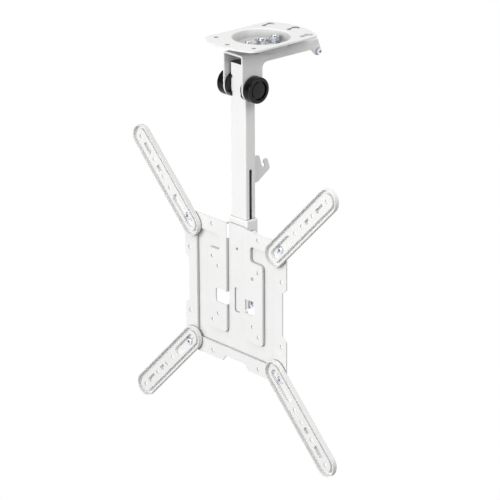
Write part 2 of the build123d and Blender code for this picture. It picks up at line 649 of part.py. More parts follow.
def tube_plug():
    """Plastic plug with a flat cap over the tube's walls and a hollow body inside them."""
    cap_top = UPPER_TOP_Z + PLUG_CAP_HEIGHT
    cap = upright(tube_section(UPPER_WIDTH, UPPER_DEPTH, UPPER_CORNER_RADIUS), cap_top, UPPER_TOP_Z)
    cap = fillet(cap.edges().group_by(Axis.Z)[-1], PLUG_CAP_ROUND)
    foot = UPPER_TOP_Z - PLUG_DEPTH
    width = UPPER_WIDTH - 2 * UPPER_WALL - 2 * PLUG_WALL
    depth = UPPER_DEPTH - 2 * UPPER_WALL - 2 * PLUG_WALL
    plug = cap + upright(upper_bore(), UPPER_TOP_Z, foot)
    return plug - upright(tube_section(width, depth, PLUG_HOLLOW_CORNER), UPPER_TOP_Z, foot)


# Hook bracket and its rivets

def rivet_heights():
    middle = HOOK_TOP_Z - HOOK_HEIGHT / 2
    return (middle + RIVET_PITCH / 2, middle - RIVET_PITCH / 2)


def hook_side():
    """Outline of one hook ear in Y and Z, with a slanting mouth that ends round the latch screw."""
    foot_z = HOOK_TOP_Z - HOOK_HEIGHT
    lean = radians(HOOK_MOUTH_ANGLE)
    mouth_radius = LATCH_SCREW_RADIUS + HOOK_MOUTH_CLEARANCE

    def from_seat(outwards, aside):
        """Point measured out along the mouth and across it, towards the finger."""
        y = HOOK_SEAT_Y - outwards * cos(lean) + aside * sin(lean)
        z = HOOK_SEAT_Z + outwards * sin(lean) + aside * cos(lean)
        return (y, z)

    lip = from_seat(HOOK_MOUTH_LENGTH, -mouth_radius)
    shoulder_y = HOOK_SEAT_Y + HOOK_SHOULDER_OFFSET
    shoulder_z = HOOK_SEAT_Z - HOOK_SHOULDER_RADIUS
    foot_y = UPPER_BACK_Y + HOOK_FOOT_LENGTH
    corners = [
        (UPPER_BACK_Y, HOOK_TOP_Z),
        (UPPER_BACK_Y + HOOK_LIP_WIDTH, HOOK_TOP_Z),
        lip,
        (HOOK_SEAT_Y, HOOK_SEAT_Z),
        (shoulder_y, shoulder_z),
        (foot_y, foot_z),
        (UPPER_BACK_Y, foot_z),
    ]
    ear = make_face(Polyline(*corners, close=True))
    corner = ear.vertices().sort_by_distance((UPPER_BACK_Y + HOOK_LIP_WIDTH, HOOK_TOP_Z, 0))[0]
    ear = fillet(corner, HOOK_LIP_RADIUS)
    tip = Pos(from_seat(HOOK_FINGER_LENGTH, mouth_radius + HOOK_FINGER_RADIUS)) * Circle(HOOK_FINGER_RADIUS)
    shoulder = Pos(shoulder_y, shoulder_z) * Circle(HOOK_SHOULDER_RADIUS)
    foot = Pos(foot_y, foot_z + HOOK_FOOT_RADIUS) * Circle(HOOK_FOOT_RADIUS)
    ear += make_hull(tip.edges() + shoulder.edges())
    ear += make_hull(foot.edges() + shoulder.edges())
    mouth = Pos(from_seat(HOOK_MOUTH_LENGTH, 0)) * Rot(0, 0, 180 - HOOK_MOUTH_ANGLE)
    return ear - mouth * SlotCenterToCenter(2 * HOOK_MOUTH_LENGTH, 2 * mouth_radius)


def hook_bracket():
    half = HOOK_WIDTH / 2
    body = across(-half, half, hook_side())
    reach = 2 * (HOOK_SEAT_Y - UPPER_BACK_Y)
    section = folded_channel(HOOK_WIDTH, HOOK_SHEET, HOOK_BEND_RADIUS, reach)
    plane = Plane(origin=(0, UPPER_BACK_Y, HOOK_TOP_Z), x_dir=(1, 0, 0), z_dir=(0, 0, -1))
    body &= extrude(plane * section, amount=HOOK_HEIGHT)
    for z in rivet_heights():
        body -= cylinder_y(RIVET_RADIUS, UPPER_BACK_Y, UPPER_BACK_Y + HOOK_SHEET, 0, z)
    return body


def hook_rivets():
    base = UPPER_BACK_Y + HOOK_SHEET
    shank_start = UPPER_BACK_Y - UPPER_WALL
    rivets = []
    for z in rivet_heights():
        shank = cylinder_y(RIVET_RADIUS, shank_start, base, 0, z)
        head = cylinder_y(RIVET_HEAD_RADIUS, base, base + RIVET_HEAD_HEIGHT, 0, z)
        head = fillet(head.edges().group_by(Axis.Y)[-1], RIVET_HEAD_HEIGHT * RIVET_ROUND_SHARE)
        rivets.append(shank + head)
    return rivets


save("upper_tube", upper_tube())
save("tube_plug", tube_plug())
save("hook_bracket", hook_bracket())
save("hook_rivets", *hook_rivets())


# Lower tube, its guide bush and the two height bolts

def lower_bore():
    width = LOWER_WIDTH - 2 * LOWER_WALL
    depth = LOWER_DEPTH - 2 * LOWER_WALL
    return tube_section(width, depth, LOWER_CORNER_RADIUS - LOWER_WALL)


def lower_tube():
    """Tube whose front wall runs on past the foot as a tongue behind the screen plate."""
    section = tube_section(LOWER_WIDTH, LOWER_DEPTH, LOWER_CORNER_RADIUS) - lower_bore()
    tube = upright(section, LOWER_TOP_Z, LOWER_FOOT_Z)
    tongue = Pos(0, LOWER_FOOT_Z) * Rectangle(TONGUE_WIDTH, 2 * TONGUE_LENGTH)
    tongue = fillet(tongue.vertices(), TONGUE_CORNER_RADIUS)
    tube += extrude(front_plane(LOWER_FRONT_Y + LOWER_WALL) * tongue, amount=LOWER_WALL)
    bolt_hole = HEIGHT_BOLT_RADIUS + HOLE_CLEARANCE
    for z in (UPPER_BOLT_Z, LOWER_BOLT_Z):
        tube -= cylinder_x(bolt_hole, -LOWER_WIDTH / 2, LOWER_WIDTH / 2, PIVOT_Y, z)
    return tube


def guide_bush():
    """Plastic cap ring on the lower tube, with a liner down each side of the upper tube."""
    opening_width = UPPER_WIDTH + 2 * SLIDE_CLEARANCE
    opening_depth = UPPER_DEPTH + 2 * SLIDE_CLEARANCE
    cap = upright(tube_section(LOWER_WIDTH, LOWER_DEPTH, LOWER_CORNER_RADIUS), LOWER_CAP_Z, LOWER_TOP_Z)
    cap = fillet(cap.edges().group_by(Axis.Z)[-1], BUSH_CAP_RADIUS)
    liner = lower_bore() - Pos(0, PIVOT_Y) * Rectangle(opening_width, LOWER_DEPTH)
    bush = cap + upright(liner, LOWER_TOP_Z, LOWER_TOP_Z - BUSH_SLEEVE_LENGTH)
    bush -= upright(tube_section(opening_width, opening_depth, UPPER_CORNER_RADIUS), LOWER_CAP_Z,
                    LOWER_TOP_Z - BUSH_SLEEVE_LENGTH)
    hole = HEIGHT_BOLT_RADIUS + HOLE_CLEARANCE
    return bush - cylinder_x(hole, -LOWER_WIDTH / 2, LOWER_WIDTH / 2, PIVOT_Y, UPPER_BOLT_Z)


def height_fasteners():
    seat = LOWER_WIDTH / 2 + HEIGHT_WASHER_THICK
    length = 2 * seat + HEIGHT_NUT_HEIGHT + HEIGHT_BOLT_TIP
    bolts = []
    washers = []
    nuts = []
    bolt = hex_bolt(HEIGHT_HEAD_ACROSS, HEIGHT_HEAD_HEIGHT, HEIGHT_BOLT_RADIUS, length)
    nut = hex_nut(HEIGHT_HEAD_ACROSS, HEIGHT_NUT_HEIGHT, HEIGHT_BOLT_RADIUS)
    ring = disc_ring(HEIGHT_WASHER_RADIUS, HEIGHT_BOLT_RADIUS, HEIGHT_WASHER_THICK)
    washer_x = LOWER_WIDTH / 2 + HEIGHT_WASHER_THICK / 2
    for z in (UPPER_BOLT_Z, LOWER_BOLT_Z):
        inward = Plane(origin=(seat, PIVOT_Y, z), x_dir=(0, 1, 0), z_dir=(-1, 0, 0))
        outward = Plane(origin=(-seat, PIVOT_Y, z), x_dir=(0, 1, 0), z_dir=(-1, 0, 0))
        bolts.append(inward.location * bolt)
        nuts.append(outward.location * nut)
        for x in (-washer_x, washer_x):
            washers.append(Pos(x, PIVOT_Y, z) * Rot(0, 90, 0) * ring)
    return bolts, washers, nuts


save("lower_tube", lower_tube())
save("guide_bush", guide_bush())
height_bolts, height_washers, height_nuts = height_fasteners()
save("height_bolts", *height_bolts)
save("height_washers", *height_washers)
save("height_nuts", *height_nuts)


# Screen plate

def mirrored(sketch):
    """A sketch with its copy across the plate's upright middle line."""
    return sketch + mirror(sketch, Plane.YZ)


def corner_grid(half_x, half_z):
    return [(x, z) for x in (-half_x, half_x) for z in (-half_z, half_z)]


def notch(half, slope, depth):
    """Notch that narrows inwards, drawn up from the edge on the X axis."""
    corners = [(-half, 0), (slope - half, depth), (half - slope, depth), (half, 0)]
    return make_face(Polyline(*corners, close=True))


def plate_outline():
    outline = RectangleRounded(2 * PLATE_HALF_WIDTH, 2 * PLATE_HALF_HEIGHT, PLATE_CORNER_RADIUS)
    side_notch = notch(PLATE_SIDE_NOTCH_HALF, PLATE_NOTCH_SLOPE, PLATE_SIDE_NOTCH_DEPTH)
    outline -= mirrored(Pos(PLATE_HALF_WIDTH, 0) * Rot(0, 0, 90) * side_notch)
    foot_notch = notch(PLATE_FOOT_NOTCH_HALF, PLATE_NOTCH_SLOPE, PLATE_FOOT_NOTCH_DEPTH)
    return outline - Pos(0, -PLATE_HALF_HEIGHT) * foot_notch


def recess_region():
    """What lies at the floor's level, seen from the front: all but the rim and the two pads."""
    region = Rectangle(2 * RECESS_HALF_WIDTH, 2 * RECESS_HALF_HEIGHT)
    pad_width = PAD_OUTER_X - CHANNEL_HALF_WIDTH
    neck_width = PAD_NECK_X - CHANNEL_HALF_WIDTH
    pad = Pos(CHANNEL_HALF_WIDTH + pad_width / 2, 0) * Rectangle(pad_width, 2 * PAD_HALF_HEIGHT)
    neck = Pos(CHANNEL_HALF_WIDTH + neck_width / 2, RECESS_HALF_HEIGHT / 2)
    neck *= Rectangle(neck_width, RECESS_HALF_HEIGHT)
    region -= mirrored(pad + neck)
    region = fillet(region.vertices(), RECESS_CORNER_RADIUS)
    channel = Pos(0, PLATE_HALF_HEIGHT) * Rectangle(2 * CHANNEL_HALF_WIDTH, 2 * PLATE_HALF_HEIGHT)
    return region + channel


def vesa_plate():
    outline = Pos(0, PLATE_CENTRE_Z) * plate_outline()
    region = Pos(0, PLATE_CENTRE_Z) * recess_region()
    depth = PLATE_EMBOSS + PLATE_SHEET
    plate = extrude(front_plane(PLATE_RIM_BACK_Y) * outline, amount=PLATE_SHEET)
    tray = offset(region, PLATE_SHEET, kind=Kind.ARC) & outline
    plate += extrude(front_plane(PLATE_FLOOR_BACK_Y) * tray, amount=depth)
    plate -= extrude(front_plane(PLATE_FLOOR_Y) * region, amount=PLATE_EMBOSS)
    window_x = (WINDOW_INNER_X + WINDOW_OUTER_X) / 2
    window = Pos(window_x, -WINDOW_BELOW_CENTRE)
    window *= RectangleRounded(WINDOW_OUTER_X - WINDOW_INNER_X, WINDOW_HEIGHT, WINDOW_CORNER_RADIUS)
    cuts = mirrored(window)
    key_slot = RectangleRounded(KEY_SLOT_WIDTH, KEY_SLOT_HEIGHT, KEY_SLOT_CORNER_RADIUS)
    cuts += Pos(0, -KEY_SLOT_BELOW_CENTRE) * key_slot
    cuts += Pos(0, PILOT_ABOVE_CENTRE) * Circle(PILOT_HOLE_RADIUS)
    for half in (VESA_SMALL / 2, VESA_MEDIUM / 2):
        for x, z in corner_grid(half, half):
            cuts += Pos(x, z) * Circle(PAD_HOLE_RADIUS)
    for x, z in corner_grid(VESA_LARGE / 2, VESA_MEDIUM / 2) + corner_grid(VESA_MEDIUM / 2, VESA_LARGE / 2):
        cuts += Pos(x, z) * Circle(RIM_HOLE_RADIUS)
    for x, z in corner_grid(VESA_LARGE / 2, VESA_LARGE / 2):
        cuts += Pos(x, z) * Circle(ARM_SCREW_RADIUS + HOLE_CLEARANCE)
    plate -= extrude(front_plane(PLATE_FLOOR_BACK_Y) * (Pos(0, PLATE_CENTRE_Z) * cuts), amount=depth)
    return plate - wall_slots()


def wall_slots():
    """Upright slots through the channel's two walls near the top edge."""
    width = WALL_SLOT_INTO_FLOOR + WALL_SLOT_INTO_PAD
    depth = PLATE_EMBOSS + PLATE_SHEET / 2
    x = CHANNEL_HALF_WIDTH - WALL_SLOT_INTO_FLOOR + width / 2
    z = PLATE_CENTRE_Z + WALL_SLOT_ABOVE_CENTRE
    slot = Pos(x, PLATE_FLOOR_BACK_Y - depth / 2, z) * Box(width, depth, WALL_SLOT_HEIGHT)
    return slot + mirror(slot, Plane.YZ)


save("vesa_plate", vesa_plate())


# Extension arms: built along X from the screw hole, the back on Z = 0 and the front towards +Z

def slab(profile, z0, z1):
    return extrude(Pos(0, 0, z0) * profile, amount=z1 - z0)


def arm_shape(radius):
    return stadium(radius, -ARM_NEAR_CENTRE, ARM_REACH)


def track_shape(radius):
    return stadium(radius, ARM_TRACK_START, ARM_TRACK_END)


def pocket_shapes(grow):
    shapes = Sketch()
    places = ((ARM_SHORT_POCKET_AT, ARM_SHORT_POCKET_LENGTH), (ARM_LONG_POCKET_AT, ARM_LONG_POCKET_LENGTH))
    for station, length in places:
        corner = ARM_POCKET_CORNER + grow
        pocket = RectangleRounded(length + 2 * grow, ARM_POCKET_WIDTH + 2 * grow, corner)
        shapes += Pos(station, 0) * pocket
    return shapes


def extension_arm():
    arm = slab(arm_shape(ARM_HALF_WIDTH), 0, ARM_DEPTH)
    arm = fillet(arm.edges().group_by(Axis.Z)[0], ARM_BEND_RADIUS)
    trough = arm_shape(ARM_HALF_WIDTH - ARM_FLANGE_THICK)
    plateau = slab(arm_shape(ARM_PLATEAU_HALF), ARM_SHEET, ARM_PLATEAU_DEPTH)
    plateau -= slab(track_shape(ARM_TRACK_HALF), ARM_SHEET, ARM_PLATEAU_DEPTH)
    plateau = fillet(plateau.edges().group_by(Axis.Z)[-1], ARM_EDGE_RADIUS)
    plateau -= slab(pocket_shapes(0), ARM_SHEET, ARM_PLATEAU_DEPTH)
    arm -= slab(trough, ARM_SHEET, ARM_DEPTH)
    arm += plateau
    hollow = arm_shape(ARM_PLATEAU_HALF - ARM_SHEET) - track_shape(ARM_TRACK_HALF + ARM_SHEET / 2)
    hollow -= pocket_shapes(ARM_SHEET)
    arm -= slab(hollow, 0, ARM_PLATEAU_DEPTH - ARM_SHEET)
    for station in (ARM_NEAR_HOLE, ARM_MIDDLE_HOLE, ARM_FAR_HOLE, ARM_REACH):
        arm -= Pos(station, 0, 0) * Cylinder(ARM_HOLE_RADIUS, 3 * ARM_DEPTH)
    arm -= Cylinder(ARM_SCREW_RADIUS + RUNNING_CLEARANCE, 3 * ARM_SHEET)
    return arm - Pos(ARM_DOT_STATION, 0, 0) * Cylinder(ARM_DOT_RADIUS, 3 * ARM_SHEET)


def arm_screw():
    """Pan-head screw with its head's seat on Z = 0 and the shank down along -Z."""
    length = ARM_SHEET + PLATE_SHEET + ARM_NUT_HEIGHT + ARM_SCREW_TIP
    head = standing(ARM_SCREW_HEAD_RADIUS, ARM_SCREW_HEAD_HEIGHT)
    head = fillet(head.edges().group_by(Axis.Z)[-1], ARM_SCREW_HEAD_HEIGHT * ARM_SCREW_ROUND_SHARE)
    bar = Pos(0, 0, ARM_SCREW_HEAD_HEIGHT)
    bar *= Box(ARM_SCREW_CROSS_WIDTH, ARM_SCREW_HEAD_RADIUS, ARM_SCREW_HEAD_HEIGHT)
    head -= bar + Rot(0, 0, 90) * bar
    shank = Pos(0, 0, -length / 2) * Cylinder(ARM_SCREW_RADIUS, length)
    return head + shank


ARM_CORNERS = {
    "arm_upper_left": (-1, 1),
    "arm_upper_right": (1, 1),
    "arm_lower_left": (-1, -1),
    "arm_lower_right": (1, -1),
}

one_arm = extension_arm()
one_screw = arm_screw()
one_arm_nut = hex_nut(ARM_NUT_ACROSS, ARM_NUT_HEIGHT, ARM_SCREW_RADIUS)
arm_screws = []
arm_nuts = []
for arm_name, (side_x, side_z) in ARM_CORNERS.items():
    corner_x = side_x * VESA_LARGE / 2
    corner_z = PLATE_CENTRE_Z + side_z * VESA_LARGE / 2
    outwards = (side_x, 0, side_z)
    base = Plane(origin=(corner_x, PLATE_FRONT_Y, corner_z), x_dir=outwards, z_dir=(0, -1, 0))
    seat = Plane(origin=(corner_x, PLATE_FRONT_Y - ARM_SHEET, corner_z), x_dir=outwards, z_dir=(0, -1, 0))
    back = Plane(origin=(corner_x, PLATE_RIM_BACK_Y, corner_z), x_dir=outwards, z_dir=(0, 1, 0))
    save(arm_name, base.location * one_arm)
    arm_screws.append(seat.location * one_screw)
    arm_nuts.append(back.location * one_arm_nut)
save("arm_screws", *arm_screws)
save("arm_nuts", *arm_nuts)
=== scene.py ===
from math import cos, pi, radians, sin

import bpy
from bpy.props import FloatProperty, FloatVectorProperty, PointerProperty
from bpy.types import Operator, Panel, PropertyGroup
from mathutils import Matrix, Vector


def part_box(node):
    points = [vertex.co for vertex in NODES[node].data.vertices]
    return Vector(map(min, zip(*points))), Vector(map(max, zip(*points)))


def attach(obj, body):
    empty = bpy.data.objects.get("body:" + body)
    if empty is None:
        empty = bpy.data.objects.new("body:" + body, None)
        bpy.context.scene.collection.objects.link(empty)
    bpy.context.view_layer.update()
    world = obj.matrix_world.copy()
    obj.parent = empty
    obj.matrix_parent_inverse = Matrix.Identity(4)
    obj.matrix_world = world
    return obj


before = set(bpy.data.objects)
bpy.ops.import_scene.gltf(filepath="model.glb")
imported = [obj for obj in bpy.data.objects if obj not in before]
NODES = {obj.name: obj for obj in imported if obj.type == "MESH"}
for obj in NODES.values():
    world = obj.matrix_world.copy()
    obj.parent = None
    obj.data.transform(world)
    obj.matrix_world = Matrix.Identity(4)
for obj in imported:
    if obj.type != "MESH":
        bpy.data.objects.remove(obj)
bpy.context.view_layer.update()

bl_info = {
    "name": "Folding ceiling screen mount",
    "version": (1, 0, 0),
    "blender": (4, 5, 0),
    "location": "View3D > Sidebar > Screen mount",
    "description": "Finishes, threads, camera and studio for a folding ceiling screen mount",
    "category": "Object",
}

# Pieces by finish
DISHED_STEEL = ("ceiling_plate",)
BRACKET_STEEL = ("folding_bracket",)
TUBE_STEEL = ("upper_tube", "lower_tube")
FLAT_STEEL = ("hook_bracket", "vesa_plate")
ARM_STEEL = ("arm_upper_left", "arm_upper_right", "arm_lower_left", "arm_lower_right")
BLACK_MOULDINGS = ("knob_left", "knob_right", "guide_disc_left", "guide_disc_right", "tube_plug")
WHITE_MOULDINGS = ("guide_bush",)
ZINC_PLATED = (
    "swivel_bolts", "swivel_washers", "swivel_nuts", "latch_screw", "latch_nut", "pivot_spindle",
    "knob_washers", "hook_rivets", "height_bolts", "height_nuts", "height_washers", "arm_screws", "arm_nuts",
)
BRASS_TURNED = ("knob_insert_left", "knob_insert_right")

# Screws and bolts, in metres
SWIVEL_BOLT_RADIUS = 0.004
SWIVEL_BOLT_SPACING = 0.025
LATCH_SCREW_RADIUS = 0.0025
HEIGHT_BOLT_RADIUS = 0.0025
ARM_SCREW_RADIUS = 0.003
ARM_SCREW_HALF_SPACING = 0.1

# Thread ridge: its foot and the plain shank at each end in pitches, and its flat top as a share of its foot
THREAD_FOOT = 0.8
THREAD_PLAIN_END = 0.3
THREAD_TOP = 0.2
THREAD_STEPS_PER_TURN = 28
THREAD_FEWEST_STEPS = 8
THREAD_SMOOTH_ANGLE = radians(40)
WELD_DISTANCE = 1e-7

# Where a surface counts as flat or sharp, as the cosine between its own normal and its bevelled one
FLAT_AGREEMENT = 0.995
SHARP_AGREEMENT = 0.80

# Middle range of a noise pattern
PATTERN_LOW = 0.3
PATTERN_HIGH = 0.7

# Colour sockets of the Mix node, which share their names with its other sockets
MIX_FIRST = 6
MIX_SECOND = 7
MIX_RESULT = 2

# Spacing of nodes in the shader editor
EDITOR_COLUMN = 240
EDITOR_ROW = 260


# Sizes and colours that can be changed

class MountPaint(PropertyGroup):
    colour: FloatVectorProperty(
        name="Paint colour", description="Powder coat on the flat sheet",
        subtype="COLOR", size=3, min=0, max=1, default=(0.84, 0.84, 0.835))
    thin_colour: FloatVectorProperty(
        name="Edge colour", description="Powder coat where it thins on an edge",
        subtype="COLOR", size=3, min=0, max=1, default=(0.80, 0.80, 0.795))
    peel_size: FloatProperty(
        name="Peel size", description="Width of one orange-peel ripple in the powder coat",
        unit="LENGTH", min=0.0002, max=0.01, default=0.0012)
    peel_depth: FloatProperty(
        name="Peel depth", description="Height of the orange-peel ripples",
        unit="LENGTH", min=0, max=0.001, default=0.000018)
    edge_width: FloatProperty(
        name="Edge width", description="How far an edge's thin paint reaches on to the sheet",
        unit="LENGTH", min=0.0001, max=0.005, default=0.0007)
    # Painted shade: grey laid into creases, and darker into hollows, where shade falls
    painted_shade_colour: FloatVectorProperty(
        name="Painted shade colour", description="Grey of the shade painted into creases",
        subtype="COLOR", size=3, min=0, max=1, default=(0.22, 0.22, 0.22))
    # Painted shade: how far from a crease or gap the darkening reaches
    crease_reach: FloatProperty(
        name="Crease reach", description="How far the painted shade of a crease or gap reaches",
        unit="LENGTH", min=0.0005, max=0.02, default=0.0026)
    # Painted shade in hollows: how far the wide darkening reaches in the ceiling plate's dish, under the
    # bracket's plate, in the screen plate's recesses and inside the tubes' bores
    dish_reach: FloatProperty(
        name="Dish reach", description="How far the painted shade of a hollow reaches on the ceiling plate",
        unit="LENGTH", min=0.002, max=0.1, default=0.05)
    bracket_reach: FloatProperty(
        name="Bracket reach", description="How far the painted shade of a gap reaches on the bracket",
        unit="LENGTH", min=0.002, max=0.1, default=0.05)
    recess_reach: FloatProperty(
        name="Recess reach", description="How far the painted shade of a recess reaches on the screen plate",
        unit="LENGTH", min=0.002, max=0.1, default=0.012)
    bore_reach: FloatProperty(
        name="Bore reach", description="How wide a bore may be and still be painted dark inside as shade",
        unit="LENGTH", min=0.002, max=0.1, default=0.025)
    # Painted shade: how dark a deep crease is painted on the plates, tubes and brackets
    crease_shade: FloatProperty(
        name="Crease shade", description="How dark a deep crease is painted as shade",
        min=0, max=1, default=0.75)
    # Painted shade: how dark a deep crease of the arms is painted
    arm_crease_shade: FloatProperty(
        name="Arm crease shade", description="How dark a deep crease of the arms is painted as shade",
        min=0, max=1, default=0.15)


class MountMouldings(PropertyGroup):
    black: FloatVectorProperty(
        name="Black", description="Black plastic of the knobs, discs and tube plug",
        subtype="COLOR", size=3, min=0, max=1, default=(0.003, 0.003, 0.0033))
    # Edges of the black plastic: lighter, partly as wear and partly as a painted highlight
    black_rubbed_and_highlit: FloatVectorProperty(
        name="Rubbed and highlit black", description="Black plastic on worn edges, lightened there as a painted highlight",
        subtype="COLOR", size=3, min=0, max=1, default=(0.035, 0.035, 0.037))
    white: FloatVectorProperty(
        name="White", description="White plastic of the guide bush",
        subtype="COLOR", size=3, min=0, max=1, default=(0.80, 0.80, 0.80))
    grain_size: FloatProperty(
        name="Grain size", description="Width of one grain of the moulded texture",
        unit="LENGTH", min=0.0001, max=0.005, default=0.0005)
    grain_depth: FloatProperty(
        name="Grain depth", description="Depth of the moulded texture",
        unit="LENGTH", min=0, max=0.001, default=0.00002)


class MountMetals(PropertyGroup):
    zinc: FloatVectorProperty(
        name="Zinc", description="Zinc plating of the screws, nuts and washers",
        subtype="COLOR", size=3, min=0, max=1, default=(0.90, 0.94, 1.0))
    zinc_dull: FloatVectorProperty(
        name="Dull zinc", description="Zinc plating where it has dulled",
        subtype="COLOR", size=3, min=0, max=1, default=(0.76, 0.80, 0.88))
    brass: FloatVectorProperty(
        name="Brass", description="Brass of the inserts in the knobs",
        subtype="COLOR", size=3, min=0, max=1, default=(0.70, 0.52, 0.25))
    brass_dull: FloatVectorProperty(
        name="Dull brass", description="Brass where it has tarnished",
        subtype="COLOR", size=3, min=0, max=1, default=(0.45, 0.32, 0.15))
    mark_size: FloatProperty(
        name="Mark size", description="Spacing of the rolled and turned marks",
        unit="LENGTH", min=0.0001, max=0.005, default=0.0004)
    mark_depth: FloatProperty(
        name="Mark depth", description="Depth of the rolled and turned marks",
        unit="LENGTH", min=0, max=0.001, default=0.000012)


class MountThreads(PropertyGroup):
    swivel_pitch: FloatProperty(
        name="Swivel thread pitch", description="Pitch of the swivel bolts' thread",
        unit="LENGTH", min=0.0005, max=0.003, default=0.00125)
    height_pitch: FloatProperty(
        name="Height thread pitch", description="Pitch of the height bolts' thread",
        unit="LENGTH", min=0.0005, max=0.003, default=0.0008)
    latch_pitch: FloatProperty(
        name="Latch thread pitch", description="Pitch of the latch screw's thread",
        unit="LENGTH", min=0.0005, max=0.003, default=0.0008)
    arm_pitch: FloatProperty(
        name="Arm thread pitch", description="Pitch of the arm screws' thread",
        unit="LENGTH", min=0.0005, max=0.003, default=0.001)
    crest: FloatProperty(
        name="Thread crest", description="How far the thread's crest stands off the shank",
        unit="LENGTH", min=0, max=0.001, default=0.00016)


class MountStudio(PropertyGroup):
    azimuth: FloatProperty(
        name="Camera azimuth", description="Camera's turn round the mount from its screen side",
        subtype="ANGLE", default=radians(48.006))
    elevation: FloatProperty(
        name="Camera elevation", description="Camera's height angle over the mount",
        subtype="ANGLE", default=radians(20.347))
    roll: FloatProperty(
        name="Camera roll", description="Camera's turn about its own line of sight",
        subtype="ANGLE", default=radians(-0.243))
    distance: FloatProperty(
        name="Camera distance", description="Distance from the camera to the point it aims at",
        unit="LENGTH", min=0.1, default=3.78373)
    lens: FloatProperty(
        name="Camera lens", description="Focal length on a 36 mm wide sensor, in millimetres",
        min=10, default=189.15)
    aim: FloatVectorProperty(
        name="Camera aim", description="Point that the camera looks at",
        subtype="TRANSLATION", unit="LENGTH", size=3, default=(0.035302, -0.055, -0.300938))
    floor_drop: FloatProperty(
        name="Floor drop", description="Height of the mount's lowest point over the floor",
        unit="LENGTH", min=0, default=2.4)
    floor_size: FloatProperty(
        name="Floor size", description="Length of the studio floor's side",
        unit="LENGTH", min=1, default=40.0)
    floor_colour: FloatVectorProperty(
        name="Floor colour", description="Colour of the studio floor",
        subtype="COLOR", size=3, min=0, max=1, default=(0.45, 0.45, 0.45))
    key_energy: FloatProperty(
        name="Key light", description="Power of the key light",
        subtype="POWER", min=0, default=94.0)
    fill_energy: FloatProperty(
        name="Fill light", description="Power of the fill light",
        subtype="POWER", min=0, default=15.0)
    top_energy: FloatProperty(
        name="Top light", description="Power of the light overhead",
        subtype="POWER", min=0, default=13.0)
    front_strength: FloatProperty(
        name="Front surround", description="Strength of the white surround in front",
        min=0, default=0.27)
    back_strength: FloatProperty(
        name="Back surround", description="Strength of the white surround behind",
        min=0, default=0.8)


# Material building blocks

def shader_node(tree, kind, place, **settings):
    """New node at a place given as its column and row in the shader editor."""
    node = tree.nodes.new(kind)
    column, row = place
    node.location = (column * EDITOR_COLUMN, -row * EDITOR_ROW)
    for name, value in settings.items():
        setattr(node, name, value)
    return node


def set_inputs(node, **values):
    """Sets inputs by name, with an underscore for each space."""
    for name, value in values.items():
        node.inputs[name.replace("_", " ")].default_value = value
    return node


def new_group(name, inputs, outputs):
    """Empty node group with float inputs and outputs, and its two end nodes."""
    group = bpy.data.node_groups.new(name, "ShaderNodeTree")
    for socket, default in inputs.items():
        item = group.interface.new_socket(socket, in_out="INPUT", socket_type="NodeSocketFloat")
        item.default_value = default
    for socket in outputs:
        group.interface.new_socket(socket, in_out="OUTPUT", socket_type="NodeSocketFloat")
    entry = shader_node(group, "NodeGroupInput", (0, 0))
    leave = shader_node(group, "NodeGroupOutput", (5, 0))
    return group, entry, leave


def frequency(group, entry, socket, place):
    """One over a size, so a pattern's scale can be given as a width in metres."""
    divide = shader_node(group, "ShaderNodeMath", place, operation="DIVIDE")
    divide.inputs[0].default_value = 1.0
    group.links.new(entry.outputs[socket], divide.inputs[1])
    return divide.outputs[0]


def joined(tree, operation, first, second, place, **settings):
    """Output of a Math node on two other outputs."""
    node = shader_node(tree, "ShaderNodeMath", place, operation=operation, **settings)
    tree.links.new(first, node.inputs[0])
    tree.links.new(second, node.inputs[1])
    return node.outputs["Value"]


def mapped(tree, source, source_low, source_high, low, high, place):
    """Maps source_low to source_high on to low to high."""
    node = shader_node(tree, "ShaderNodeMapRange", place)
    set_inputs(node, From_Min=source_low, From_Max=source_high, To_Min=low, To_Max=high)
    tree.links.new(source, node.inputs["Value"])
    return node.outputs["Result"]


def from_pattern(tree, pattern, low, high, place):
    """Maps a noise pattern's middle range on to low to high."""
    return mapped(tree, pattern, PATTERN_LOW, PATTERN_HIGH, low, high, place)


def weakened(tree, mask, strength, place):
    """Mask that reaches strength where the given one is 1."""
    return mapped(tree, mask, 0.0, 1.0, 0.0, strength, place)


def surface_ripple_group():
    """Fine ripples and broad mottling: the orange peel of powder coat, or the grain of a moulding."""
    group, entry, leave = new_group("surface_ripple", {"Size": 0.001, "Mottle Size": 0.03},
                                    ("Height", "Mottle", "Fleck"))
    place = shader_node(group, "ShaderNodeTexCoord", (1, 3))
    ripple = set_inputs(shader_node(group, "ShaderNodeTexNoise", (3, 0)), Detail=2.0, Roughness=0.45)
    mottle = set_inputs(shader_node(group, "ShaderNodeTexNoise", (3, 1)), Detail=3.0, Roughness=0.55)
    fleck = set_inputs(shader_node(group, "ShaderNodeTexVoronoi", (3, 2)), Randomness=1.0)
    fine = frequency(group, entry, "Size", (2, 0))
    broad = frequency(group, entry, "Mottle Size", (2, 1))
    for node, scale in ((ripple, fine), (mottle, broad), (fleck, fine)):
        group.links.new(place.outputs["Object"], node.inputs["Vector"])
        group.links.new(scale, node.inputs["Scale"])
    group.links.new(ripple.outputs["Fac"], leave.inputs["Height"])
    group.links.new(mottle.outputs["Fac"], leave.inputs["Mottle"])
    group.links.new(fleck.outputs["Distance"], leave.inputs["Fleck"])
    return group


